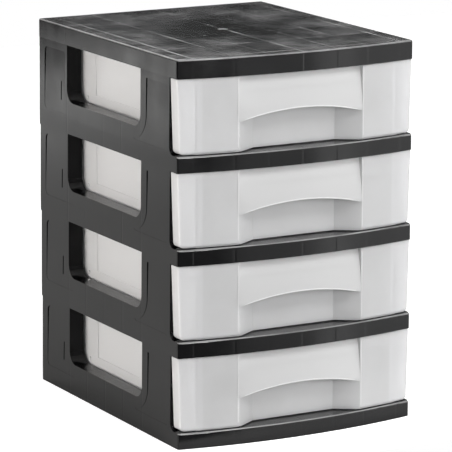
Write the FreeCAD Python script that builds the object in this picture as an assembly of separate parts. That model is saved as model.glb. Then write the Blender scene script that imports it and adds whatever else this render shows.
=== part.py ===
"""Letter tray stack with four sliding drawers.

A knock-down cabinet for paper: five flat plates, four tiers of side and back panels between them,
and one translucent drawer in each tier. Every piece is one injection moulding.

Frame: the origin is at the middle of the footprint, +Z up, the drawers open toward -Y.
All sizes are in millimetres.
"""
import FreeCAD
import Part
import math
import os

os.makedirs("parts", exist_ok=True)

# Overall sizes
width = 285.0
side_depth = 333.0
front_bow = 15.0
tier_count = 4
tier_pitch = 99.0

# Walls and clearances that all frame mouldings share
skin = 2.5
seam_gap = 0.3
slide_gap = 0.3
overrun = 5.0

# Plates: the band is a plate's visible edge, from its lower rim to its deck
shelf_band = 17.5
cover_band = 20.5
plate_corner_radius = 2.0
plate_lip_radius = 1.8
rib_thickness = 2.0
rib_height = 9.0
rib_places = (0.0, 40.0, 80.0, 125.0)
rib_row_count = 6
cover_rib_reach = 130.0
gate_place = 164.0
gate_radius = 5.8
gate_floor_radius = 4.3
gate_depth = 1.1
gate_nub_radius = 1.3
gate_nub_height = 0.6
runner_place = 95.0
runner_width = 6.0
runner_height = 1.2
runner_front_margin = 22.0
runner_rear_margin = 18.0
deck_peg_count = 3
deck_peg_thickness = 2.0
deck_peg_length = 10.0
deck_peg_depth = 6.0
deck_peg_place = 10.0

# Side panels, measured in from the outer face, up from the band's lower rim and back from the front corner,
# or forward from the rear where the name ends in margin
panel_flare = 1.0
panel_depth = 18.0
post_front = 18.5
post_foot_radius = 8.0
window_front = 84.5
window_rear_margin = 70.5
window_sill = 35.5
window_corner_radius = 15.0
ledge_thickness = 2.5
ledge_depth = 15.5
sill_rib_count = 5
sill_rib_thickness = 2.0
tongue_place = 3.8
tongue_thickness = 2.5
tongue_height = 9.0
tongue_end_margin = 8.0

# Shallow fields in the posts' outer faces, which fade out toward the band
field_depth_top = 0.9
field_depth_low = 0.15
field_floor = 21.0
field_corner_radius = 6.0
field_top_margin = 8.5
front_field_start = 21.5
front_field_rim = 12.8
front_field_reach = 102.0
rear_field_end_margin = 13.3
rear_field_rim = 4.5
rear_field_start_margin = 87.0
slot_margin = 55.5
slot_width = 2.2
slot_low = 35.5
slot_high = 56.5

# Back panels
back_window_half = 52.0
back_window_sill = 30.0
back_window_top_margin = 13.0
back_window_radius = 15.0
back_ledge_depth = 10.0
back_ledge_half = 112.0
back_rim_depth = 3.0
back_peg_width = 2.0
back_peg_height = 8.0
back_peg_length = 7.0
back_peg_inset = 9.0
back_peg_levels = (40.0, 80.0)

# Drawer fronts
face_setback = 1.0
face_thickness = 2.2
face_bottom_gap = 1.3
face_top_gap = 0.7
face_inset_top = 0.5
face_taper = 2.4
face_return = 14.0
face_corner_radius = 5.5
face_edge_radius = 2.5
face_lip_depth = 5.0

# Handle: a leaning pull panel over a finger recess
handle_half = 74.5
handle_lean = 7.0
handle_arc_end = 50.3
handle_arc_middle = 60.8
handle_wall = 2.2
handle_edge_radius = 1.5
recess_depth = 16.0
recess_back_half = 49.5
recess_top = 80.0

# Drawer bodies
body_side_gap = 20.5
body_wall = 2.0
body_floor = 2.0
body_height = 77.0
body_rear_gap = 5.0
body_rim_width = 1.5
body_rim_height = 2.5
emboss_depth = 0.7
emboss_front = 75.0
emboss_rear_margin = 102.5
emboss_low = 46.0
emboss_top_margin = 6.0
nub_margin = 82.0
nub_level = 41.0
nub_radius = 2.0
nub_height = 0.8

# Stops: a tab under each drawer's tail meets a lug on the plate when the drawer is 245 out
stop_place = 60.0
stop_width = 14.0
stop_length = 4.0
stop_height = 1.15
stop_lug_front = 60.0
stop_rear_margin = 16.5

# Places worked out from the sizes above
window_rear = side_depth - window_rear_margin
rear_field_reach = side_depth - rear_field_start_margin
rear_field_end = side_depth - rear_field_end_margin
slot_place = side_depth - slot_margin
emboss_rear = side_depth - emboss_rear_margin
nub_place = side_depth - nub_margin
half = width / 2
y_rear = (side_depth + front_bow) / 2
y_corner = y_rear - side_depth
y_front = y_corner - front_bow
bow_radius = half * half / (2 * front_bow) + front_bow / 2
bow_centre = y_front + bow_radius
deck_half = half - skin - seam_gap
deck_rear = y_rear - skin - seam_gap
back_face = y_rear - skin
body_half = half - body_side_gap
body_rear = back_face - body_rear_gap
drawer_floor = shelf_band + runner_height + slide_gap
face_bottom = shelf_band + face_bottom_gap
face_top = tier_pitch - face_top_gap
face_radius = bow_radius - face_setback
face_rear = y_corner + face_setback + face_return
handle_face = bow_centre - math.sqrt(face_radius ** 2 - handle_half ** 2)
stack_top = tier_count * tier_pitch

X = FreeCAD.Vector(1, 0, 0)
Z = FreeCAD.Vector(0, 0, 1)


def vec(x, y, z):
    return FreeCAD.Vector(x, y, z)


def block(x0, x1, y0, y1, z0, z1):
    """A box between two corners."""
    return Part.makeBox(x1 - x0, y1 - y0, z1 - z0, vec(x0, y0, z0))


def prism(points, direction):
    """A straight prism over a closed outline."""
    wire = Part.makePolygon(list(points) + [points[0]])
    return Part.Face(wire).extrude(direction)


def joined(solids):
    """One solid from pieces that meet, with shared faces cleaned away."""
    whole = solids[0].multiFuse(list(solids[1:])) if len(solids) > 1 else solids[0]
    whole = whole.removeSplitter()
    return whole.Solids[0] if len(whole.Solids) == 1 else whole


def drum(radius, z0, z1):
    """An upright cylinder about the axis that the front's bow is struck from."""
    return Part.makeCylinder(radius, z1 - z0, vec(0, bow_centre, z0))


def round_edges(solid, radius, keep):
    """Rounds the edges whose middle point and direction pass the test keep."""
    chosen = []
    for edge in solid.Edges:
        middle = edge.valueAt((edge.FirstParameter + edge.LastParameter) / 2)
        if keep(edge, middle):
            chosen.append(edge)
    return solid.makeFillet(radius, chosen) if chosen else solid


def is_upright(edge):
    """True for a straight edge along Z."""
    start = edge.Vertexes[0].Point
    end = edge.Vertexes[-1].Point
    lean = math.hypot(start.x - end.x, start.y - end.y)
    return lean < seam_gap and abs(start.z - end.z) > skin


def bowed_slab(side, rear, radius, z0, z1):
    """A slab with straight sides at +-side, a straight rear edge and the bowed front."""
    return block(-side, side, y_front - overrun, rear, z0, z1).common(drum(radius, z0, z1))


def rounded_window(y0, y1, z0, z1, radius, x0, x1):
    """A bar along X, with its two lower corners rounded, that cuts a window open at the top."""
    bar = block(x0, x1, y0, y1, z0, z1)
    low = z0 + radius

    def lower_corner(edge, middle):
        ends = [v.Point for v in edge.Vertexes]
        along_x = abs(ends[0].x - ends[-1].x) > abs(x1 - x0) / 2
        return along_x and middle.z < low

    return round_edges(bar, radius, lower_corner)


def front_bar(height):
    """The curved bar that shows between two drawers, with a rounded upper front edge."""
    bar = bowed_slab(half, 0, bow_radius, 0, height)
    bar = bar.cut(drum(bow_radius - skin, -overrun, height + overrun))
    reach = bow_radius - skin / 2

    def outer(middle):
        return math.hypot(middle.x, middle.y - bow_centre) > reach

    bar = round_edges(bar, plate_corner_radius, lambda e, m: is_upright(e) and outer(m))

    def top_edge(edge, middle):
        return abs(middle.z - height) < seam_gap and outer(middle) and edge.Length > half

    return round_edges(bar, plate_lip_radius, top_edge)


def plate_ribs(deck_low, reach, rear):
    """The grid of ribs under a deck, whose lowest edge stays rib_height below it."""
    z0 = deck_low - rib_height
    ribs = []
    inner = bow_radius - skin / 2
    for place in rib_places:
        for side in sorted({place, -place}):
            rib = block(side - rib_thickness / 2, side + rib_thickness / 2, y_front, rear, z0, deck_low)
            ribs.append(rib.common(drum(inner, z0, deck_low)))
    row_pitch = (rear - rib_thickness - y_corner) / (rib_row_count - 1)
    for row in range(rib_row_count):
        y0 = y_corner + row * row_pitch
        rib = block(-reach, reach, y0, y0 + rib_thickness, z0, deck_low)
        ribs.append(rib.common(drum(inner, z0, deck_low)))
    return ribs


def peg_stations():
    """Places along Y of the pegs that pin a deck to the side panels' ledges."""
    pitch = side_depth / deck_peg_count
    return [y_corner + pitch * (i + 0.5) for i in range(deck_peg_count)]


def deck_pegs(x, top):
    """The row of flat pegs under one side of a deck."""
    reach_x = deck_peg_thickness / 2
    reach_y = deck_peg_length / 2
    return [block(x - reach_x, x + reach_x, y - reach_y, y + reach_y, top - deck_peg_depth, top)
            for y in peg_stations()]


def make_shelf():
    """A plate that a drawer slides on: bar, deck, ribs beneath, runners, stop lugs and pegs."""
    deck_low = shelf_band - skin
    deck = bowed_slab(deck_half, deck_rear, bow_radius - skin / 2, deck_low, shelf_band)
    solids = [front_bar(shelf_band), deck]
    rib_reach = rib_places[-1] + rib_thickness / 2
    solids += plate_ribs(deck_low, rib_reach, deck_rear - back_ledge_depth - seam_gap)
    for side in (-1, 1):
        x = side * runner_place
        runner = block(x - runner_width / 2, x + runner_width / 2, y_corner + runner_front_margin,
                       deck_rear - runner_rear_margin, shelf_band, shelf_band + runner_height)
        lug_x = side * stop_place
        lug_y = y_corner + stop_lug_front
        lug = block(lug_x - stop_width / 2, lug_x + stop_width / 2, lug_y - stop_length, lug_y,
                    shelf_band, shelf_band + stop_height)
        solids += [runner, lug]
        solids += deck_pegs(side * (half - deck_peg_place), deck_low)
    return joined(solids)


def gate_dimple(top):
    """The sunk ring in the middle of the cover where the melt came in, with the gate's cut-off nub."""
    y = y_corner + gate_place
    slope = (gate_radius - gate_floor_radius) / gate_depth
    wide = gate_radius + slope * overrun
    cone = Part.makeCone(gate_floor_radius, wide, gate_depth + overrun, vec(0, y, top - gate_depth))
    return cone.cut(Part.makeCylinder(gate_nub_radius, gate_nub_height, vec(0, y, top - gate_depth)))


def make_cover():
    """The top plate: a hollow lid with a skirt on all four sides and ribs under its deck."""
    body = bowed_slab(half, y_rear, bow_radius, 0, cover_band)
    body = round_edges(body, plate_corner_radius, lambda e, m: is_upright(e))

    def top_edge(edge, middle):
        return abs(middle.z - cover_band) < seam_gap

    body = round_edges(body, plate_lip_radius, top_edge)
    deck_low = cover_band - skin
    hollow = bowed_slab(half - skin, y_rear - skin, bow_radius - skin, -overrun, deck_low)
    ribs = plate_ribs(deck_low, cover_rib_reach, y_rear - skin / 2)
    return joined([body.cut(hollow)] + ribs).cut(gate_dimple(cover_band))


def panel_slab(y0, y1):
    """The panel's skin: upright along the band, then leaning inward to the seam above."""
    points = [(0, 0), (0, shelf_band), (panel_flare, tier_pitch), (panel_flare + skin, tier_pitch),
              (skin, shelf_band), (skin, 0)]
    return prism([vec(-half + t, y0, z) for t, z in points], vec(0, y1 - y0, 0))


def panel_cutter(extra):
    """The window in a side panel, grown by extra all round."""
    y0 = y_corner + window_front - extra
    y1 = y_corner + window_rear + extra
    return rounded_window(y0, y1, window_sill - extra, tier_pitch + overrun, window_corner_radius + extra,
                          -half - overrun, -half + panel_depth + overrun)


def panel_field(y0, y1, rim):
    """The wedge that sinks a post's outer face, deepest at the top, beside the window's raised rim."""
    top = tier_pitch - field_top_margin
    lean = panel_flare / (tier_pitch - shelf_band)
    t_low = lean * (field_floor - shelf_band) + field_depth_low
    t_top = lean * (top - shelf_band) + field_depth_top
    points = [(-overrun, field_floor), (t_low, field_floor), (t_top, top), (-overrun, top)]
    wedge = prism([vec(-half + t, y0, z) for t, z in points], vec(0, y1 - y0, 0))
    outline = block(-half - overrun, -half + panel_depth, y0, y1, field_floor, top)

    def corner(edge, middle):
        along_x = abs(edge.Vertexes[0].Point.x - edge.Vertexes[-1].Point.x) > overrun
        return along_x and edge.Length > panel_depth

    outline = round_edges(outline, field_corner_radius, corner)
    return wedge.common(outline).cut(panel_cutter(rim))


def panel_posts():
    """Flanges that stiffen the posts: front edge, rear edge and closed tops, all panel_depth deep."""
    x0 = -half + skin / 2
    x1 = -half + panel_depth
    z0 = shelf_band + seam_gap
    y_post = y_corner + post_front
    front_edge = block(x0, x1, y_post, y_post + skin, z0, tier_pitch)
    rear_edge = block(x0, x1, deck_rear - skin, deck_rear, z0, tier_pitch)
    x_top = -half + panel_flare + skin / 2
    front_top = block(x_top, x1, y_post, y_corner + window_front, tier_pitch - skin, tier_pitch)
    rear_top = block(x_top, x1, y_corner + window_rear, deck_rear, tier_pitch - skin, tier_pitch)
    return [front_edge, rear_edge, front_top, rear_top]


def panel_tongue():
    """The rail along the panel's top, which plugs into the band above."""
    x0 = -half + tongue_place
    x1 = x0 + tongue_thickness
    y0 = y_corner + post_front + tongue_end_margin
    y1 = deck_rear - tongue_end_margin
    rail = block(x0, x1, y0, y1, tier_pitch, tier_pitch + tongue_height)
    front_root = block(x0, x1, y0, y_corner + window_front, tier_pitch - skin, tier_pitch)
    rear_root = block(x0, x1, y_corner + window_rear, y1, tier_pitch - skin, tier_pitch)
    return [rail, front_root, rear_root]


def panel_ledge():
    """The ledge inside the band that a deck rests on, with holes for the deck's pegs."""
    top = shelf_band - skin
    y0 = y_corner + skin + seam_gap
    ledge = block(-half + skin / 2, -half + ledge_depth, y0, deck_rear, top - ledge_thickness, top)
    ledge = ledge.common(drum(bow_radius - skin - seam_gap, 0, top))
    for y in peg_stations():
        x = -half + deck_peg_place
        reach_x = deck_peg_thickness / 2 + seam_gap
        reach_y = deck_peg_length / 2 + seam_gap
        ledge = ledge.cut(block(x - reach_x, x + reach_x, y - reach_y, y + reach_y, 0, shelf_band))
    return ledge


def back_peg_box(level, spare):
    """The peg that pins a back panel to a left side panel's rear flange, grown by spare."""
    x = -half + back_peg_inset
    reach_x = back_peg_width / 2 + spare
    reach_z = back_peg_height / 2 + spare
    y0 = back_face - back_peg_length
    return block(x - reach_x, x + reach_x, y0, back_face, level - reach_z, level + reach_z)


def make_left_panel():
    """One tier's left side: a foot along the band, two hollow posts and a sill round the window."""
    y_foot = y_corner + skin + seam_gap
    slab = panel_slab(y_foot, y_rear)
    foot_end = block(-half - overrun, -half + panel_depth, y_foot - overrun, y_corner + post_front,
                     shelf_band, tier_pitch + overrun)

    def foot_corner(edge, middle):
        on_post = abs(middle.y - (y_corner + post_front)) < seam_gap
        return on_post and abs(middle.z - shelf_band) < seam_gap

    foot_end = round_edges(foot_end, post_foot_radius, foot_corner)
    lining = panel_cutter(skin).cut(panel_cutter(0))
    lining = lining.common(block(-half + skin / 2, -half + panel_depth, y_front, y_rear, 0, tier_pitch))
    shell = slab.cut(foot_end).cut(panel_cutter(0))
    solids = [shell, lining, panel_ledge()] + panel_posts() + panel_tongue() + sill_ribs()
    panel = joined(solids)
    front_field = panel_field(y_corner + front_field_start, y_corner + front_field_reach, front_field_rim)
    rear_field = panel_field(y_corner + rear_field_reach, y_corner + rear_field_end, rear_field_rim)
    slot_y = y_corner + slot_place
    slot = block(-half - overrun, -half + panel_flare + skin + seam_gap, slot_y - slot_width / 2,
                 slot_y + slot_width / 2, slot_low, slot_high)
    peg_holes = [back_peg_box(level, seam_gap) for level in back_peg_levels]
    return joined([panel.cut([front_field, rear_field, slot] + peg_holes)])


def sill_ribs():
    """Upright webs between the ledge and the sill, evenly spaced along the window."""
    ribs = []
    pitch = (window_rear - window_front) / (sill_rib_count - 1)
    z0 = shelf_band + seam_gap
    for i in range(sill_rib_count):
        y0 = y_corner + window_front + i * pitch - sill_rib_thickness / 2
        y1 = y0 + sill_rib_thickness
        rib = block(-half + skin / 2, -half + panel_depth, y0, y1, z0, window_sill + window_corner_radius)
        ribs.append(rib.cut(panel_cutter(skin / 2)))
    return ribs


def make_back():
    """One tier's back: a plain panel between the side panels, with a window and a ledge for the deck."""
    panel = prism([vec(-deck_half, back_face, 0), vec(deck_half, back_face, 0),
                   vec(deck_half, back_face, shelf_band), vec(deck_half - panel_flare, back_face, tier_pitch),
                   vec(-deck_half + panel_flare, back_face, tier_pitch), vec(-deck_half, back_face, shelf_band)],
                  vec(0, skin, 0))
    window = block(-back_window_half, back_window_half, back_face - overrun, y_rear + overrun,
                   back_window_sill, tier_pitch - back_window_top_margin)

    def along_y(edge, middle):
        return abs(edge.Vertexes[0].Point.y - edge.Vertexes[-1].Point.y) > overrun

    window = round_edges(window, back_window_radius, along_y)
    rim_half = back_window_half + skin
    rim = block(-rim_half, rim_half, back_face - back_rim_depth, back_face + skin / 2,
                back_window_sill - skin, tier_pitch - back_window_top_margin + skin)
    rim = round_edges(rim, back_window_radius + skin,
                      lambda e, m: abs(e.Vertexes[0].Point.y - e.Vertexes[-1].Point.y) > back_rim_depth)
    ledge = block(-back_ledge_half, back_ledge_half, back_face - back_ledge_depth, back_face + skin / 2,
                  shelf_band - skin - ledge_thickness, shelf_band - skin)
    solids = [panel, rim, ledge]
    for level in back_peg_levels:
        peg = back_peg_box(level, 0)
        solids += [peg, peg.mirror(vec(0, 0, 0), X)]
    return joined([joined(solids).cut(window)])


def face_profile(inset, z0, z1, radius, y0, y1):
    """The front's outline seen from the front, narrower at the bottom, drawn out along Y."""
    top_half = half - face_inset_top - inset
    low_half = half - face_inset_top - face_taper - inset
    lean = face_taper / (face_top - face_bottom)
    top = top_half + lean * (z1 - face_top)
    low = low_half + lean * (z0 - face_bottom)
    outline = [vec(-low, y0, z0), vec(low, y0, z0), vec(top, y0, z1), vec(-top, y0, z1)]
    solid = prism(outline, vec(0, y1 - y0, 0))

    def lower_corner(edge, middle):
        ends = [v.Point for v in edge.Vertexes]
        return abs(ends[0].y - ends[-1].y) > abs(y1 - y0) / 2 and middle.z < (z0 + z1) / 2

    return round_edges(solid, radius, lower_corner)


def face_block():
    """The bowed front as a solid, with its front edges rounded down the sides and along the bottom."""
    outer = face_profile(0, face_bottom, face_top, face_corner_radius, y_front - overrun, face_rear)
    outer = outer.common(drum(face_radius, 0, tier_pitch))
    reach = face_radius - face_thickness / 2

    def front_edge(edge, middle):
        on_face = math.hypot(middle.x, middle.y - bow_centre) > reach
        return on_face and middle.z < face_top - face_thickness

    return round_edges(outer, face_edge_radius, front_edge)


def face_shell():
    """The bowed front hollowed from behind, with short returns along the sides, the bottom and the top."""
    hollow = face_profile(face_thickness, face_bottom + face_thickness, face_top - face_thickness,
                          face_corner_radius - face_thickness, y_front - overrun, face_rear + overrun)
    hollow = hollow.common(drum(face_radius - face_thickness, 0, tier_pitch))
    lip_cut = block(-half, half, y_corner + face_setback + face_lip_depth, face_rear + overrun,
                    face_top - face_thickness - seam_gap, tier_pitch)
    between = face_profile(face_thickness, 0, tier_pitch, face_thickness, y_front, face_rear + overrun)
    return face_block().cut(hollow).cut(lip_cut.common(between))


def handle_outline(z0, z1, grow):
    """The finger recess seen from above: slanted ends and a straight back, grown by its wall."""
    slant = math.atan2(recess_depth, handle_half - recess_back_half)
    y_out = y_front - overrun
    side = handle_half + grow
    y_side = handle_face + grow * math.tan((math.pi / 2 - slant) / 2)
    back_half = recess_back_half + grow * math.tan(slant / 2)
    y_back = handle_face + recess_depth + grow
    points = [vec(-side, y_out, z0), vec(side, y_out, z0), vec(side, y_side, z0),
              vec(back_half, y_back, z0), vec(-back_half, y_back, z0), vec(-side, y_side, z0)]
    return prism(points, vec(0, 0, z1 - z0))


def pull_solid(inset):
    """All that lies behind the pull panel's surface, which curves back from the face toward the top."""
    rise = face_top - handle_arc_end
    curve = (rise ** 2 + handle_lean ** 2) / (2 * handle_lean)
    low = vec(0, bow_centre - face_radius + inset, handle_arc_end)
    swing = math.asin(rise / curve) / 2
    middle = vec(0, low.y + curve * (1 - math.cos(swing)), low.z + curve * math.sin(swing))
    high = vec(0, low.y + handle_lean, face_top)
    axis_low = vec(0, bow_centre, 0)
    axis_high = vec(0, bow_centre, face_top)
    foot = vec(0, low.y, 0)
    edges = [Part.makeLine(axis_low, foot), Part.makeLine(foot, low), Part.Arc(low, middle, high).toShape(),
             Part.makeLine(high, axis_high), Part.makeLine(axis_high, axis_low)]
    return Part.Face(Part.Wire(edges)).revolve(axis_low, Z, 360)


def arc_cutter():
    """All that lies below the pull panel's arched lower edge."""
    y0 = y_front - overrun
    left = vec(-handle_half - handle_wall - overrun, y0, handle_arc_end)
    right = vec(handle_half + handle_wall + overrun, y0, handle_arc_end)
    a = vec(-handle_half, y0, handle_arc_end)
    b = vec(handle_half, y0, handle_arc_end)
    low_left = vec(left.x, y0, -overrun)
    low_right = vec(right.x, y0, -overrun)
    arch = Part.Arc(a, vec(0, y0, handle_arc_middle), b).toShape()
    edges = [Part.makeLine(left, a), arch, Part.makeLine(b, right), Part.makeLine(right, low_right),
             Part.makeLine(low_right, low_left), Part.makeLine(low_left, left)]
    face = Part.Face(Part.Wire(edges))
    return face.extrude(vec(0, y_rear, 0))


def pull_panel():
    """The leaning panel whose arched lower edge the fingers pull on, with a cheek at each end."""
    reach = handle_half + handle_wall / 2
    zone = block(-reach, reach, y_front - overrun, 0, 0, face_top)
    pull = pull_solid(0).cut(pull_solid(handle_wall)).common(zone).cut(arc_cutter())
    side = handle_half + handle_wall
    cheek_rear = handle_face + handle_lean + handle_wall
    cheeks = block(-side, side, y_front, cheek_rear, handle_arc_end, face_top)
    cheeks = cheeks.cut(block(-handle_half, handle_half, y_front, cheek_rear, 0, face_top))
    return [pull, cheeks.common(face_block())]


def pull_zone():
    """The space between the cheeks and above the arch, where only the pull panel may stand."""
    return block(-handle_half, handle_half, y_front - overrun, 0, 0, tier_pitch).cut(arc_cutter())


def recess_walls():
    """The finger recess behind the pull panel: slanted ends, a back wall and a ceiling."""
    roof = recess_top + handle_wall
    walls = handle_outline(face_bottom, roof, handle_wall).cut(handle_outline(0, recess_top, 0))
    outside = pull_zone().cut(pull_solid(handle_wall / 2))
    return walls.common(face_block()).cut(outside)


def mouth_nicks():
    """The two cuts that round the face where it turns into the recess.

    Each is the corner between two directions, less the cylinder that touches both of them.
    """
    corner = vec(handle_half, handle_face, 0)
    along_face = vec(bow_centre - handle_face, handle_half, 0).normalize()
    along_slant = vec(recess_back_half - handle_half, recess_depth, 0).normalize()
    half_angle = math.acos(along_face.dot(along_slant)) / 2
    bisector = (along_face + along_slant).normalize()
    centre = corner + bisector * (handle_edge_radius / math.sin(half_angle))
    touch = handle_edge_radius / math.tan(half_angle)
    outer = []
    for along in (along_face, along_slant):
        point = corner + along * touch
        outer.append(point + (point - centre) * (overrun / handle_edge_radius))
    wedge = prism([centre, outer[0], corner - bisector * overrun, outer[1]], Z * tier_pitch)
    nick = wedge.cut(Part.makeCylinder(handle_edge_radius, tier_pitch, centre)).cut(pull_zone())
    return [nick, nick.mirror(vec(0, 0, 0), X)]


def side_emboss(hand, top):
    """The shallow panel sunk into a drawer's side wall; hand is -1 for the left side and 1 for the right."""
    x = hand * body_half
    y0 = y_corner + emboss_front
    y1 = y_corner + emboss_rear
    return block(x - emboss_depth, x + emboss_depth, y0, y1, emboss_low, top - emboss_top_margin)


def side_nub(hand):
    """The small round nub near the rear of a drawer's side."""
    root = vec(hand * (body_half - body_wall / 2), y_corner + nub_place, nub_level)
    return Part.makeCylinder(nub_radius, nub_height + body_wall / 2, root, vec(hand, 0, 0))


def stop_tab(hand):
    """The tab under a drawer's tail, which meets the plate's lug when the drawer is fully out."""
    x = hand * stop_place
    y1 = body_rear - stop_rear_margin
    return block(x - stop_width / 2, x + stop_width / 2, y1 - stop_length, y1,
                 drawer_floor - stop_height, drawer_floor + body_floor / 2)


def body_box():
    """The paper tray behind the face: floor, three walls, a rim and shallow embossed sides."""
    top = drawer_floor + body_height
    reach = face_radius - face_thickness / 2
    outer = bowed_slab(body_half, body_rear, reach, drawer_floor, top)
    side = body_half - body_wall
    inner = block(-side, side, y_front - overrun, body_rear - body_wall, drawer_floor + body_floor, top)
    box = outer.cut(inner)
    rim_side = body_half + body_rim_width
    rim = block(-rim_side, rim_side, face_rear, body_rear, top - body_rim_height, top)
    box = box.fuse(rim.cut(block(-side, side, y_front, body_rear - body_wall, 0, top)))
    for hand in (-1, 1):
        box = box.cut(side_emboss(hand, top)).fuse([side_nub(hand), stop_tab(hand)])
    return box


def make_drawer():
    """One drawer: bowed face with its handle and the tray behind it, moulded in one."""
    inner_reach = face_radius - face_thickness / 2
    opening = block(-handle_half, handle_half, y_front - overrun, face_rear, 0, tier_pitch)
    recess = handle_outline(0, tier_pitch, handle_wall / 2)
    apron = bowed_slab(body_half, face_rear, inner_reach, face_bottom, face_bottom + face_thickness)
    solids = [face_shell().cut(opening), body_box().cut(recess), apron.cut(recess), recess_walls()]
    return joined(solids + pull_panel()).cut(mouth_nicks())


def export(shape, name, level):
    """Writes one piece, lifted to its tier, and prints a line about it."""
    placed = shape.copy()
    placed.translate(vec(0, 0, level))
    print(name, "valid", placed.isValid(), "solids", len(placed.Solids), "volume", round(placed.Volume))
    placed.exportStep("parts/" + name + ".step")


shelf = make_shelf()
left_panel = make_left_panel()
right_panel = left_panel.mirror(vec(0, 0, 0), X)
back = make_back()
drawer = make_drawer()

export(shelf, "base_plate", 0)
for tier in range(tier_count):
    level = tier * tier_pitch
    number = str(tier + 1)
    if tier > 0:
        export(shelf, "shelf_plate_" + str(tier), level)
    export(left_panel, "left_side_panel_" + number, level)
    export(right_panel, "right_side_panel_" + number, level)
    export(back, "back_panel_" + number, level)
    export(drawer, "drawer_" + number, level)
export(make_cover(), "top_plate", stack_top)
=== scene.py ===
# %% [markdown]
# # A letter tray stack with four drawers
# The real thing is all injection moulding: a cabinet that clips together from black polystyrene
# plates and panels, and four milky polypropylene drawers that slide in it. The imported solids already
# have the true shapes, so this lesson is about light and plastic: a camera that stands where the
# photographer stood, soft boxes that draw the edges, and finishes with the marks that moulding leaves.
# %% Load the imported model
import math

import bpy
import numpy as np
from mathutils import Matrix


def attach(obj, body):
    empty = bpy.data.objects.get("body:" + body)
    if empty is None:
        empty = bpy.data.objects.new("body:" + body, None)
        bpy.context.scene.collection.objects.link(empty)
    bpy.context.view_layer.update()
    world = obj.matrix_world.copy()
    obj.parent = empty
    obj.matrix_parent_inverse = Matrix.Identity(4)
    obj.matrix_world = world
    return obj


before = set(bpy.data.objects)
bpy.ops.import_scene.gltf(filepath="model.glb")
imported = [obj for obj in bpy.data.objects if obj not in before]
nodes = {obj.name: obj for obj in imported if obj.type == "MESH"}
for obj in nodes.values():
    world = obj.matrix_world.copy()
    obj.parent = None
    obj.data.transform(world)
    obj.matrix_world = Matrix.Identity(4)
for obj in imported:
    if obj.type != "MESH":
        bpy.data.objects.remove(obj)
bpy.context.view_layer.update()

# %% [markdown]
# ## The camera
# The seven visible corners of the cabinet in the photograph fix a long lens about three and a half
# metres away, at the height of a tall desk. A long lens keeps the verticals nearly parallel, so the
# sensor needs no shift. The numbers are a least squares fit of those corners.
# %% Camera
camera_place = (-1.6694, -3.0738, 0.9480)
camera_turn = 0.49787
camera_tilt = 0.21139
focal_length_mm = 257.74

camera = bpy.data.objects.new("camera", bpy.data.cameras.new("camera"))
camera.data.lens = focal_length_mm
camera.location = camera_place
camera.rotation_euler = (math.pi / 2 - camera_tilt, 0, -camera_turn)
bpy.context.scene.collection.objects.link(camera)
bpy.context.scene.camera = camera
bpy.context.scene.view_settings.view_transform = "Standard"
print("camera", focal_length_mm, "mm, distance", round(math.dist(camera_place, (0, 0, 0.2)), 3), "m")

# %% [markdown]
# ## Three helpers for nodes and colours
# Blender mixes light in linear values, while a colour picker shows sRGB, so one function turns a hex
# code into linear. Another adds a shader node with its settings and links in one line, which keeps
# each material short enough to read as a recipe, and the last starts such a recipe.
# %% Helpers
def linear(code):
    """A hex sRGB code as linear red, green, blue and a full alpha."""
    srgb = np.array([int(code[k:k + 2], 16) for k in (1, 3, 5)]) / 255
    light = np.where(srgb <= 0.04045, srgb / 12.92, ((srgb + 0.055) / 1.055) ** 2.4)
    return (*(float(v) for v in light), 1.0)


def add(tree, kind, inputs=None, **settings):
    """Adds a node: inputs maps a socket to a value or to another node's output, settings are its own."""
    node = tree.nodes.new("ShaderNode" + kind)
    for name, value in settings.items():
        setattr(node, name, value)
    for socket, value in (inputs or {}).items():
        if isinstance(value, bpy.types.NodeSocket):
            tree.links.new(value, node.inputs[socket])
        else:
            node.inputs[socket].default_value = value
    return node


def new_material(name):
    """An empty material with its output node, and the tree to build in."""
    material = bpy.data.materials.new(name)
    material.use_nodes = True
    material.node_tree.nodes.clear()
    return material, material.node_tree, add(material.node_tree, "OutputMaterial")


white = linear("#ffffff")
print("white is", white)

# %% [markdown]
# ## The table
# The stack stands near the front edge of a white table, with a brighter white card under its front.
# The lowest front bar mirrors that card. At the bar's left end the edge is nearer, so that end mirrors
# the dark studio beyond it, as the bars above do. The picture's background is pure white, so the
# table adds a white share for rays from the camera only, and plastic that mirrors the table sees it
# a little darker, with the object's shadow on it. A flat sheet with six corners is all it takes.
# %% Table
table_reach = 2.4
table_edge, table_edge_left = -0.262, -0.185
edge_turns = (-0.15, 0.04)

corners = [(-table_reach, table_edge_left, 0), (edge_turns[0], table_edge_left, 0), (edge_turns[1], table_edge, 0),
           (table_reach, table_edge, 0), (table_reach, table_reach, 0), (-table_reach, table_reach, 0)]
table_mesh = bpy.data.meshes.new("table")
table_mesh.from_pydata(corners, [], [tuple(range(len(corners)))])
table = bpy.data.objects.new("table", table_mesh)
bpy.context.scene.collection.objects.link(table)
print("table from y =", table_edge, "m, nearer at the left:", table_edge_left)

# %% White board and card
card_fade = (-0.15, -0.19)
table_glow = 0.78

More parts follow.
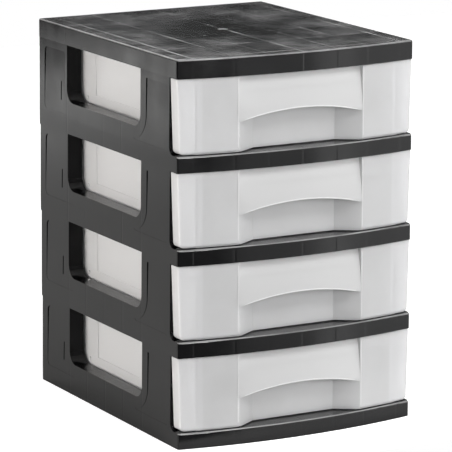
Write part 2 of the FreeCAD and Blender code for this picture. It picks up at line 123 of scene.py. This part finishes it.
white_board, tree, out = new_material("melamine table top, white")
seen = add(tree, "LightPath").outputs["Is Camera Ray"]
glow_strength = add(tree, "Math", {0: seen, 1: table_glow}, operation="MULTIPLY").outputs[0]
depth = add(tree, "SeparateXYZ", {0: add(tree, "TexCoord").outputs["Object"]}).outputs[1]
card = add(tree, "MapRange", {"Value": depth, "From Min": card_fade[0], "From Max": card_fade[1]}).outputs[0]
top = add(tree, "Mix", {0: card, 6: linear("#d2d2d1"), 7: linear("#fafafa")}, data_type="RGBA").outputs[2]
diffuse = add(tree, "BsdfDiffuse", {"Color": top}).outputs[0]
glow = add(tree, "Emission", {"Color": white, "Strength": glow_strength}).outputs[0]
tree.links.new(add(tree, "AddShader", {0: diffuse, 1: glow}).outputs[0], out.inputs["Surface"])
table_mesh.materials.append(white_board)
print("white added for the camera:", table_glow)

# %% [markdown]
# ## The room
# A studio is dim away from its lamps. The world gives that dim light to everything, but the camera,
# and rays that pass through the milky plastic, see a white backdrop of strength 1 instead. That is
# why the windows glow, and no lamp has to overexpose the object for it.
# %% World
room_light = 0.05

world = bpy.data.worlds.new("studio")
world.use_nodes = True
world.node_tree.nodes.clear()
tree = world.node_tree
seen = add(tree, "LightPath").outputs
shown = add(tree, "Math", {0: seen["Is Camera Ray"], 1: seen["Is Transmission Ray"]}, operation="MAXIMUM")
strength = add(tree, "MapRange", {"Value": shown.outputs[0], "To Min": room_light, "To Max": 1.0})
sky = add(tree, "Background", {"Color": white, "Strength": strength.outputs[0]})
tree.links.new(sky.outputs[0], add(tree, "OutputWorld").inputs["Surface"])
bpy.context.scene.world = world
print("room light", room_light)

# %% [markdown]
# ## Soft boxes
# Gloss shows what a plastic face looks at, so each box has one task. The overhead box draws the thin
# bright lines on the rounded top edges, two boxes in front light the drawers, and the front right box
# and the two dim boards are what the bowed bars mirror. The top plate mirrors the lower edge of the
# back box. The left box lights the windows, and the far left box lights the floor that the left posts
# mirror. These two only light: if gloss showed them, the black panels would look silver from the side.
# %% Lamps
def soft_box(name, place, aim, size, radiance, spread=180, colour=(1, 1, 1), mirrored=True):
    """A rectangular area lamp that looks from place to aim, with the given brightness of its face.

    The face of Blender's area lamp is as bright as energy / (4 * area), so energy = 4 * radiance * area.
    """
    lamp = bpy.data.lights.new(name, "AREA")
    lamp.shape = "RECTANGLE"
    lamp.size, lamp.size_y = size
    lamp.energy = 4 * radiance * size[0] * size[1]
    lamp.spread = math.radians(spread)
    lamp.color = colour
    box = bpy.data.objects.new(name, lamp)
    box.location = place
    direction = np.array(aim) - np.array(place)
    flat = math.hypot(direction[0], direction[1])
    box.rotation_euler = (math.atan2(flat, -direction[2]), 0, math.atan2(-direction[0], direction[1]))
    box.visible_camera = False
    box.visible_glossy = mirrored
    bpy.context.scene.collection.objects.link(box)
    return box


warm_white = (1, 0.965, 0.925)
lamps = [
    soft_box("overhead box", (0.1, 0.1, 2.1), (0, 0, 0.2), (0.8, 0.65), 1.6),
    soft_box("front box", (-0.1, -2.5, 0.80), (0, 0, 0.2), (1.2, 1.0), 8.0),
    soft_box("high front box", (0.2, -1.5, 1.90), (0, -0.2, 0.1), (1.4, 0.8), 5.6),
    soft_box("front right box", (2.5, -1.2, 0.85), (0, 0, 0.2), (1.3, 1.2), 2.8),
    soft_box("left box", (-2.3, 0.35, 0.35), (0, 0.02, 0.2), (1.2, 0.6), 3.9,
             spread=80, colour=warm_white, mirrored=False),
    soft_box("far left box", (-1.25, 2.5, 1.0), (-1.25, 2.55, 0), (1.0, 1.0), 9.0, mirrored=False),
    soft_box("right board", (1.35, -1.15, 0.35), (0, 0, 0.35), (1.2, 1.5), 0.7),
    soft_box("half right board", (0.75, -1.6, 0.35), (0, 0, 0.35), (0.9, 1.5), 0.42),
    soft_box("back box", (1.25, 2.3, 1.72), (0, 0, 0.4), (1.6, 1.12), 3.0),
]
print("lamps:", len(lamps))

# %% [markdown]
# ## Patterns that moulding leaves
# Melt flows in streaks, and a wall sinks a little wherever a rib stands on its far side. Noise that is
# stretched along the flow gives the first, and a ramp with a soft dip at each rib gives the second.
# Both read Object coordinates, so they stay in place when the camera moves, and their sizes are real
# ones in millimetres. A picture of the marks would do too, but it would need unwrapping and a file.
# %% Noise and sink lines
sink_width = 0.0035
ramp_reach = 0.2


def stretched_noise(tree, place, wavelengths_mm, detail=2.0):
    """Noise whose features have these lengths in millimetres along X, Y and Z."""
    scaled = add(tree, "VectorMath", {0: place, 1: tuple(1000 / w for w in wavelengths_mm)}, operation="MULTIPLY")
    return add(tree, "TexNoise", {"Vector": scaled.outputs[0], "Scale": 1.0, "Detail": detail}).outputs[0]


def sink_lines(tree, axis, places):
    """How far the surface has sunk: 0 on the flat and 1 at each place, in metres along one object axis."""
    along = add(tree, "MapRange", {"Value": axis, "From Min": -ramp_reach, "From Max": ramp_reach}).outputs[0]
    ramp = add(tree, "ValToRGB", {0: along})
    ramp.color_ramp.interpolation = "EASE"
    for place in sorted(places):
        for side, sunk in ((-1, 0), (0, 1), (1, 0)):
            stop = ramp.color_ramp.elements.new(0.5 + (place + side * sink_width / 2) / (2 * ramp_reach))
            stop.color = (sunk, sunk, sunk, 1)
    for end in (0, -1):
        ramp.color_ramp.elements[end].color = (0, 0, 0, 1)
    return ramp.outputs[0]


print("sink lines are", 1000 * sink_width, "mm wide")

# %% [markdown]
# ## The surface of black polystyrene
# High impact polystyrene with carbon black, moulded against polished steel. The eye sees almost no
# body colour, only mirrored light that gets stronger at a glancing angle, so three things give the
# plastic away: a bump far below a millimetre, a faint haze that clears near the gate where the melt
# came in, and bright lines on the rounded edges, which here are a painted highlight: a grey colour on
# edges that lean upwards, patchy with the haze. Each is a small function here.
# %% Bump, haze and painted edge highlights
peel_mm, streak_mm = 0.010, 0.010
sink_across_mm, sink_along_mm = 0.22, 0.12


def mould_bump(tree, place, across, along, streaks):
    """The normal of the moulded wall: sink lines at X places (across) and Y places (along), and streaks.

    height = 0.01 mm of each streak noise + 0.01 mm of orange peel - 0.22 or 0.12 mm at each sink line
    A sink line is patchy, because the ribs shrink unevenly.
    """
    axes = add(tree, "SeparateXYZ", {0: place}).outputs
    peel = stretched_noise(tree, place, (30, 30, 30), 0.0)
    height = add(tree, "Math", {0: peel, 1: peel_mm}, operation="MULTIPLY").outputs[0]
    for wavelengths in streaks:
        streak = stretched_noise(tree, place, wavelengths, 0.5)
        height = add(tree, "Math", {0: streak, 1: streak_mm, 2: height}, operation="MULTIPLY_ADD").outputs[0]
    blotches = stretched_noise(tree, place, (70, 70, 70), 1.0)
    patchy = add(tree, "MapRange", {"Value": blotches, "From Min": 0.35, "From Max": 0.65,
                                    "To Min": 0.35, "To Max": 1.0}).outputs[0]
    for axis, places, depth in ((axes[0], across, sink_across_mm), (axes[1], along, sink_along_mm)):
        if places:
            line = add(tree, "Math", {0: sink_lines(tree, axis, places), 1: patchy}, operation="MULTIPLY").outputs[0]
            height = add(tree, "Math", {0: line, 1: -depth, 2: height}, operation="MULTIPLY_ADD").outputs[0]
    return add(tree, "Bump", {"Height": height, "Distance": 0.001, "Strength": 1.0}).outputs[0]


def hazy_roughness(tree, place, haze, roughness, gate):
    """Roughness that follows the haze, and falls to two thirds over the last 110 mm to the gate."""
    rough = add(tree, "MapRange", {"Value": haze, "From Min": 0.3, "From Max": 0.7,
                                   "To Min": roughness[0], "To Max": roughness[1]}).outputs[0]
    if gate:
        away = add(tree, "VectorMath", {0: place, 1: gate}, operation="DISTANCE").outputs["Value"]
        far = add(tree, "MapRange", {"Value": away, "From Min": 0.02, "From Max": 0.13, "To Min": 0.65,
                                     "To Max": 1.0}, interpolation_type="SMOOTHSTEP").outputs[0]
        rough = add(tree, "Math", {0: rough, 1: far}, operation="MULTIPLY").outputs[0]
    return rough


def black_with_painted_edge_highlight(tree, up, haze, edge_highlight_colour):
    """Black that turns to a painted highlight colour where a rounded edge leans, between level and upright."""
    leaning = add(tree, "MapRange", {"Value": up, "From Min": 0.20, "From Max": 0.50}).outputs[0]
    not_flat = add(tree, "MapRange", {"Value": up, "From Min": 0.985, "From Max": 0.94}).outputs[0]
    painted_highlight = add(tree, "Math", {0: leaning, 1: not_flat}, operation="MULTIPLY").outputs[0]
    painted_highlight = add(tree, "Math", {0: painted_highlight, 1: haze}, operation="MULTIPLY").outputs[0]
    # Painted highlight: grey on the upward rounded edges, patchy with the haze.
    return add(tree, "Mix", {0: painted_highlight, 6: linear("#0d0d0e"), 7: linear(edge_highlight_colour)}, data_type="RGBA").outputs[2]


print("streaks and peel", streak_mm, "mm, sink lines", sink_across_mm, "and", sink_along_mm, "mm")

# %% [markdown]
# ## The recipe for black polystyrene
# A Principled shader takes the bump, the haze and the black with its painted edge highlight. Its IOR
# of 1.5 is matched to the photograph, a little under the plastic's 1.59. The jambs and sills of the side
# windows are duller than the outside, as if cut by a coarser part of the mould, so on those faces of the
# panels, which look forwards, backwards or up, the mirrored share is lower.
# %% Black polystyrene
def black_polystyrene(name, across, along, streaks, roughness, edge_highlight_colour, jamb_gloss=1.0, gate=None):
    """Polished mould finish, with roughness from clear to hazy, jambs of a lower gloss, and a painted highlight on
    upward edges.
    """
    material, tree, out = new_material(name)
    coordinates = add(tree, "TexCoord").outputs
    place = coordinates["Object"]
    facing = add(tree, "SeparateXYZ", {0: coordinates["Normal"]}).outputs
    haze = stretched_noise(tree, place, (40, 40, 40), 4.0)
    gloss = add(tree, "BsdfPrincipled", {"Base Color": black_with_painted_edge_highlight(tree, facing[2], haze, edge_highlight_colour),
                                         "Roughness": hazy_roughness(tree, place, haze, roughness, gate),
                                         "IOR": 1.5, "Specular IOR Level": 0.5,
                                         "Normal": mould_bump(tree, place, across, along, streaks)})
    if jamb_gloss < 1:
        frontward = add(tree, "Math", {0: facing[1]}, operation="ABSOLUTE").outputs[0]
        upward = add(tree, "Math", {0: facing[2], 1: 0.8}, operation="MULTIPLY").outputs[0]
        jamb = add(tree, "Math", {0: frontward, 1: upward}, operation="MAXIMUM").outputs[0]
        mirror = add(tree, "MapRange", {"Value": jamb, "From Min": 0.6, "From Max": 0.9,
                                        "To Min": 0.5, "To Max": 0.5 * jamb_gloss}).outputs[0]
        tree.links.new(mirror, gloss.inputs["Specular IOR Level"])
    tree.links.new(gloss.outputs[0], out.inputs["Surface"])
    return material


print("polystyrene black is", [round(v, 4) for v in linear("#0d0d0e")])

# %% [markdown]
# ## Three black finishes
# The plates show sink lines over their ribs, the panels over the webs of their windows. The flow
# streaks run away from each piece's gate: to all sides on the top plate, front to back on the shelf
# plates, and up and down the panels. Only the top plate shows its gate.
# %% Frame plastics
rib_places = sorted(side * place / 1000 for place in (40, 80, 125) for side in (-1, 1)) + [0.0]
cover_rows = [-0.158 + row * 0.06595 for row in range(6)]
window_webs = [-0.0745 + web * 0.0445 for web in range(5)]
gate_place = (0.0, 0.005, 0.4165)

# The fifth colour is a painted highlight on the upward rounded edges: grey on the plates, near black on the panels.
cover_black = black_polystyrene("moulded polystyrene, black, top plate", rib_places, cover_rows,
                                [(12, 160, 60), (160, 20, 60)], (0.12, 0.22), "#b8b8b8", gate=gate_place)
shelf_black = black_polystyrene("moulded polystyrene, black, shelf plates", rib_places, [],
                                [(9, 160, 60)], (0.14, 0.24), "#b8b8b8")
panel_black = black_polystyrene("moulded polystyrene, black, side and back panels", [], window_webs,
                                [(60, 9, 160), (60, 4, 220), (60, 25, 90)], (0.12, 0.22), "#141415",
                                jamb_gloss=0.3)
print("frame finishes:", [m.name for m in (cover_black, shelf_black, panel_black)])

# %% [markdown]
# ## Milky polypropylene
# The drawers are natural polypropylene: cloudy, and so soft that light enters one wall and comes out
# of the next. A rough transmission carries the dim shapes behind, a translucent share spreads the
# rest, and a wide cloudy pattern stands for the uneven way the melt cooled. The pull panel stands in
# front of a second wall, so it lets less through. The lighter colour on the drawer's outer ends is
# painted light.
# %% Where the wall is double
tier_pitch = 0.099
pull_bottom = (0.50, 0.56)
pull_side = (0.076, 0.074)
pull_front = (-0.156, -0.160)
# Outside this |x| the drawer's colour is lighter: painted light on the outer ends.
painted_light_ends = (0.111, 0.117)


def double_wall(tree, across, axes):
    """1 on the pull panel, at the upper, middle and front part of each drawer, and 0 elsewhere.

    It is the product of three ramps: of the height within the tier, of |x| and of y.
    """
    tier_height = add(tree, "Math", {0: axes[2], 1: tier_pitch}, operation="DIVIDE").outputs[0]
    tier_height = add(tree, "Math", {0: tier_height}, operation="FRACT").outputs[0]
    share = 1.0
    for value, (start, end) in ((tier_height, pull_bottom), (across, pull_side), (axes[1], pull_front)):
        ramp = add(tree, "MapRange", {"Value": value, "From Min": start, "From Max": end}).outputs[0]
        share = add(tree, "Math", {0: ramp, 1: share}, operation="MULTIPLY").outputs[0]
    return share


print("the pull panel starts", round(1000 * tier_pitch * pull_bottom[0], 1), "mm above the foot of its tier")

# %% [markdown]
# ## The recipe for milky polypropylene
# The Principled shader's transmission is the see-through part, at the IOR of polypropylene, and a
# Translucent shader mixed in is the light that spreads inside the wall. A subsurface shader could do
# both for a thick block, but these walls are two millimetres thin, where this mix is faster and truer.
# %% Drawer plastics
def milky_polypropylene(name, darker, lighter, thick_tint, spread_share, see_through=0.50):
    """A weak gloss over a mix of body colour, rough see-through and spread light, with painted light on the outer
    ends.
    """
    material, tree, out = new_material(name)
    place = add(tree, "TexCoord").outputs["Object"]
    axes = add(tree, "SeparateXYZ", {0: place}).outputs
    across = add(tree, "Math", {0: axes[0]}, operation="ABSOLUTE").outputs[0]
    # Painted light: the colour turns lighter at the drawer's outer ends.
    painted_light_band = add(tree, "MapRange", {"Value": across, "From Min": painted_light_ends[0], "From Max": painted_light_ends[1]},
               interpolation_type="SMOOTHSTEP").outputs[0]
    cloud = stretched_noise(tree, place, (45, 45, 45), 3.0)
    cloud_and_painted_light = add(tree, "Math", {0: painted_light_band, 1: cloud}, operation="MAXIMUM").outputs[0]
    tint = add(tree, "Mix", {0: cloud_and_painted_light, 6: linear(darker), 7: linear(lighter)}, data_type="RGBA").outputs[2]
    thick = double_wall(tree, across, axes)
    clear = add(tree, "MapRange", {"Value": thick, "To Min": see_through, "To Max": see_through / 6}).outputs[0]
    tint = add(tree, "Mix", {0: thick, 6: tint, 7: linear(thick_tint)}, data_type="RGBA").outputs[2]
    ripple = stretched_noise(tree, place, (12, 12, 12))
    bump = add(tree, "Bump", {"Height": ripple, "Distance": 0.00003, "Strength": 1.0}).outputs[0]
    body = add(tree, "BsdfPrincipled", {"Base Color": tint, "Roughness": 0.20, "IOR": 1.49,
                                        "Transmission Weight": clear, "Normal": bump}).outputs[0]
    spread = add(tree, "BsdfTranslucent", {"Color": linear("#f1f1f1"), "Normal": bump}).outputs[0]
    mixed = add(tree, "MixShader", {0: spread_share, 1: body, 2: spread}).outputs[0]
    tree.links.new(mixed, out.inputs["Surface"])
    return material


milk = milky_polypropylene("moulded polypropylene, natural milky", "#e2e2e2", "#f5f5f6", "#d3d3d3", 0.25)
# The lips' finish is a lighter copy of the milky one: painted glow on the edges.
painted_glow_edge = milky_polypropylene("moulded polypropylene, painted edge glow", "#f6f6f6", "#fbfbfb", "#fbfbfb", 0.55)
print("drawer finishes:", milk.name, "and", painted_glow_edge.name)

# %% [markdown]
# ## Dress the solids
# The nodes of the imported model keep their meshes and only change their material. The first word of a
# node's name says what it is, so one small table is enough, and whatever is not in it is a panel.
# %% Give every node its finish
finish_of_first_word = {"drawer": milk, "top": cover_black, "shelf": shelf_black, "base": shelf_black}

for name, node in nodes.items():
    finish = finish_of_first_word.get(name.split("_")[0], panel_black)
    for index in range(len(node.data.materials)):
        node.data.materials[index] = finish
print("dressed", len(nodes), "nodes")

# %% [markdown]
# ## Rolled lips on the drawers
# Where a wall of clear or milky plastic ends, light that travelled inside it comes out, so the edge
# glows. Here that glow is painted light: the lips take a lighter and more translucent copy of the milky
# finish. Each drawer has such a lip under its arched pull panel, and a fine bead where its face turns
# into the finger recess. A bead is a circle carried along a path, written as one grid of points: the
# path comes from the same arcs as the face, so the bead sits exactly on the edge that it rounds.
# %% Paths of the lips
half_mouth = 0.0745
bow_centre, face_radius = 0.510375, 0.683375
arch_end, arch_middle = 0.0503, 0.0608
face_low, face_high = 0.0188, 0.0983
lean_curve = 0.16807
lip_steps, bead_steps = 97, 41


def face_y(x, z):
    """The front of the drawer's face: bowed in plan, and above the arch's ends it leans back.

    y(x, z) = c - sqrt((R - lean(z))^2 - x^2),  lean(z) = K - sqrt(K^2 - max(z - z0, 0)^2)
    """
    rise = np.maximum(z - arch_end, 0)
    lean = lean_curve - np.sqrt(lean_curve ** 2 - rise ** 2)
    return bow_centre - np.sqrt((face_radius - lean) ** 2 - x ** 2)


def arch_z(x):
    """The arch under the pull panel, the circle through its two ends and its middle."""
    rise = arch_middle - arch_end
    radius = (half_mouth ** 2 + rise ** 2) / (2 * rise)
    return arch_middle - radius + np.sqrt(radius ** 2 - x ** 2)


# The small numbers, in metres, set each bead into the wall by about its radius and stop it short of corners.
along_arch = np.linspace(-1, 1, lip_steps) * (half_mouth - 0.0004)
lip_path = np.c_[along_arch, face_y(along_arch, arch_z(along_arch)) + 0.0010, arch_z(along_arch) + 0.0002]
side_x = half_mouth + 0.0012
up_the_face = np.linspace(face_low + 0.0028, face_high - 0.0012, bead_steps)
side_y = face_y(side_x, arch_end) + 0.0003
side_paths = [np.c_[np.full(bead_steps, side * side_x), np.full(bead_steps, side_y), up_the_face]
              for side in (-1, 1)]
print("lip from", lip_path[0].round(4), "to", lip_path[-1].round(4))

# %% [markdown]
# ## Sweep a circle along a path
# At each point of the path, two directions square to it carry the circle. Blender's curves can do the
# same with a bevel, but as one array of points the bead's ends are simply a radius that falls to
# nothing, and each drawer's beads join into one mesh that rides on the drawer.
# %% Sweep a bead along a path
lip_radius, bead_radius = 0.00115, 0.0005


def bead_grid(path, radius, around=14):
    """The points of a round bead, as a grid of path points by steps around, and its four-cornered faces.

    P(s, a) = path(s) + r(s) (cos a u(s) + sin a v(s)),  r(s) = radius * sqrt(1 - 0.999 s^16), s in -1..1
    u and v are square to the path. A small face closes each end.
    """
    ahead = np.gradient(path, axis=0)
    ahead /= np.linalg.norm(ahead, axis=1, keepdims=True)
    u = np.cross(ahead, (0.0, 1.0, 0.0))
    u /= np.linalg.norm(u, axis=1, keepdims=True)
    v = np.cross(ahead, u)
    s = np.linspace(-1, 1, len(path))
    swell = radius * np.sqrt(1 - 0.999 * s ** 16)[:, None, None]
    turn = np.linspace(0, 2 * np.pi, around, endpoint=False)[None, :, None]
    points = path[:, None] + swell * (np.cos(turn) * u[:, None] + np.sin(turn) * v[:, None])
    row, step = np.meshgrid(np.arange(len(path) - 1), np.arange(around), indexing="ij")
    corner = row * around + step
    right = row * around + (step + 1) % around
    faces = np.stack([corner, right, right + around, corner + around], axis=-1).reshape(-1, 4)
    ends = [np.arange(around)[::-1].tolist(), ((len(path) - 1) * around + np.arange(around)).tolist()]
    return points.reshape(-1, 3), faces, ends


def mesh_piece(name, grids, body, material):
    """One object from several grids of points and faces, riding on a CAD body."""
    points, faces, base = [], [], 0
    for grid_points, grid_faces, ends in grids:
        points.append(grid_points)
        faces += (grid_faces + base).tolist() + [[k + base for k in end] for end in ends]
        base += len(grid_points)
    mesh = bpy.data.meshes.new(name)
    mesh.from_pydata(np.concatenate(points).tolist(), [], faces)
    mesh.polygons.foreach_set("use_smooth", np.ones(len(mesh.polygons), dtype=bool))
    mesh.materials.append(material)
    piece = bpy.data.objects.new(name, mesh)
    bpy.context.scene.collection.objects.link(piece)
    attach(piece, body)
    return piece


for tier in range(4):
    lift = np.array((0, 0, tier * tier_pitch))
    grids = [bead_grid(lip_path + lift, lip_radius)] + [bead_grid(path + lift, bead_radius) for path in side_paths]
    piece = mesh_piece("drawer_%d_lips" % (tier + 1), grids, "drawer_%d" % (tier + 1), painted_glow_edge)
    print(piece.name, len(piece.data.vertices), "points,", len(piece.data.polygons), "faces")
